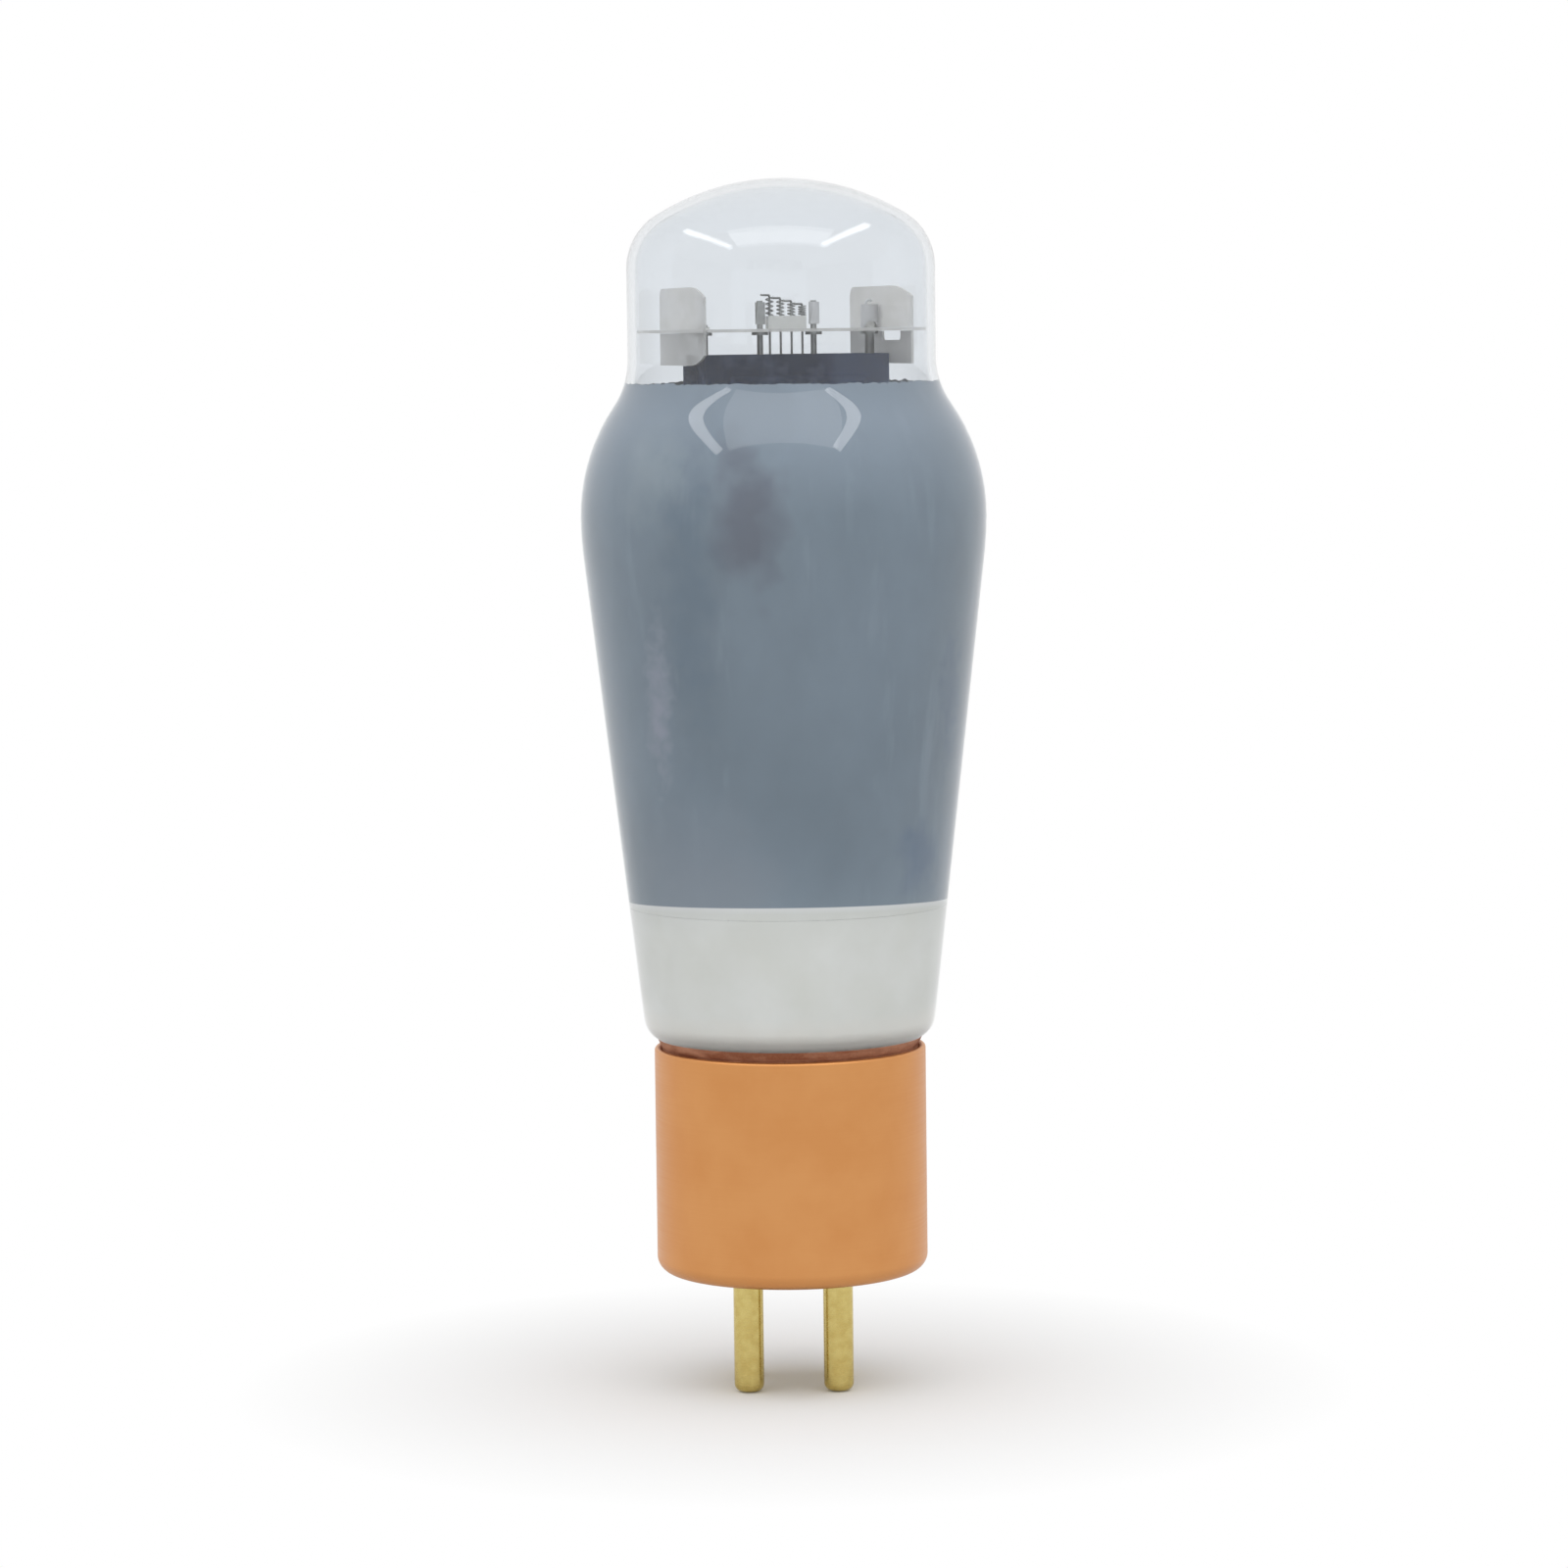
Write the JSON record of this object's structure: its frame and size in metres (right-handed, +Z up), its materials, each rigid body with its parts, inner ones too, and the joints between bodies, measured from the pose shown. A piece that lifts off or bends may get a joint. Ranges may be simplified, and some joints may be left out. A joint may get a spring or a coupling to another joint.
{
  "type": "power triode tube",
  "caption": "Directly heated power triode: shouldered glass bulb with a clear dome, dark-coated body and mirrored foot, cemented into a copper-coloured pin base.",
  "frame": {"origin": "on the bulb's axis, in the plane of the pin tips", "axes": "+Z up along the axis from the pins to the dome; the thick filament pins stand towards -Y, the side that the picture shows; +X to the right in that view"},
  "size_m": [0.0536, 0.0536, 0.1603],
  "materials": {
    "glass": "clear, polished",
    "coating": "matt film behind glass",
    "mirror_film": "satin silver film",
    "cement": "matt",
    "copper": "satin copper colour",
    "wafer": "matt",
    "brass": "polished",
    "solder": "dull",
    "nickel": "satin",
    "carbonised_nickel": "matt",
    "ceramic": "matt",
    "grid_wire": "satin",
    "tungsten": "matt oxide",
    "mica": "pearly, translucent"
  },
  "bodies": {
    "root": {"glass_bulb": "glass", "dark_coating": "coating", "getter_mirror": "mirror_film", "glass_stem": "glass", "base_cement": "cement", "base_shell": "copper", "pin_wafer": "wafer", "pin_1_filament": "brass", "pin_2_anode": "brass", "pin_3_grid": "brass", "pin_4_filament": "brass", "pin_solder": "solder", "filament_lead_right": "nickel", "filament_lead_left": "nickel", "anode_lead": "nickel", "grid_lead": "nickel", "anode_leg": "nickel", "anode_front": "carbonised_nickel", "anode_rear": "carbonised_nickel", "anode_rod_left": "nickel", "anode_rod_right": "nickel", "anode_ferrule": "carbonised_nickel", "rod_insulators": "ceramic", "rod_washers": "nickel", "grid_post_left": "nickel", "grid_post_right": "nickel", "grid_winding": "grid_wire", "grid_vane_left": "nickel", "grid_vane_right": "carbonised_nickel", "filament": "tungsten", "filament_hook_1": "nickel", "filament_hook_2": "nickel", "filament_hook_3": "nickel", "filament_hook_4": "nickel", "filament_spring_1": "nickel", "filament_spring_2": "nickel", "filament_spring_3": "nickel", "filament_spring_4": "nickel", "spring_bar": "ceramic", "filament_anchor_1": "nickel", "filament_anchor_2": "nickel", "filament_anchor_3": "nickel", "top_mica": "mica", "bottom_mica": "mica", "mica_fin_left": "mica", "mica_fin_right": "mica", "getter_ring": "nickel", "getter_wire": "nickel"}
  },
  "joints": []
}
